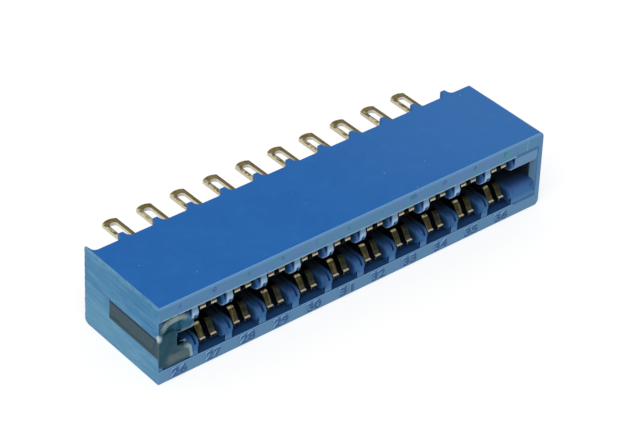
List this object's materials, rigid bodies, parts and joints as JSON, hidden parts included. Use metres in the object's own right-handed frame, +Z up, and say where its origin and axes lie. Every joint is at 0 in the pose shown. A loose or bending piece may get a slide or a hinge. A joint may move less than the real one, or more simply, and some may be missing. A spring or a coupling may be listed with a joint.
{
  "type": "card edge connector",
  "caption": "Section of a double-row card edge connector with a moulded housing, sprung contacts, solder tails and one sawn, sealed end.",
  "frame": {"origin": "middle of the whole part's box, on the long side it lies on", "axes": "+X along the length from the sawn end to the moulded end, -Y out of the mating face, +Y out of the solder tails, +Z up from the long side it lies on"},
  "size_m": [0.047, 0.0161, 0.0088],
  "materials": {
    "housing_plastic": "satin moulded plastic",
    "contact_metal": "tarnished gold-coloured plating",
    "sealant": "translucent grey cured sealant"
  },
  "bodies": {
    "root": {"housing": "housing_plastic", "end_sealant": "sealant", "lower_contact_27": "contact_metal", "lower_contact_28": "contact_metal", "lower_contact_29": "contact_metal", "lower_contact_30": "contact_metal", "lower_contact_31": "contact_metal", "lower_contact_32": "contact_metal", "lower_contact_33": "contact_metal", "lower_contact_34": "contact_metal", "lower_contact_35": "contact_metal", "lower_contact_36": "contact_metal", "upper_contact_27": "contact_metal", "upper_contact_28": "contact_metal", "upper_contact_29": "contact_metal", "upper_contact_30": "contact_metal", "upper_contact_31": "contact_metal", "upper_contact_32": "contact_metal", "upper_contact_33": "contact_metal", "upper_contact_34": "contact_metal", "upper_contact_35": "contact_metal", "upper_contact_36": "contact_metal"}
  },
  "joints": []
}
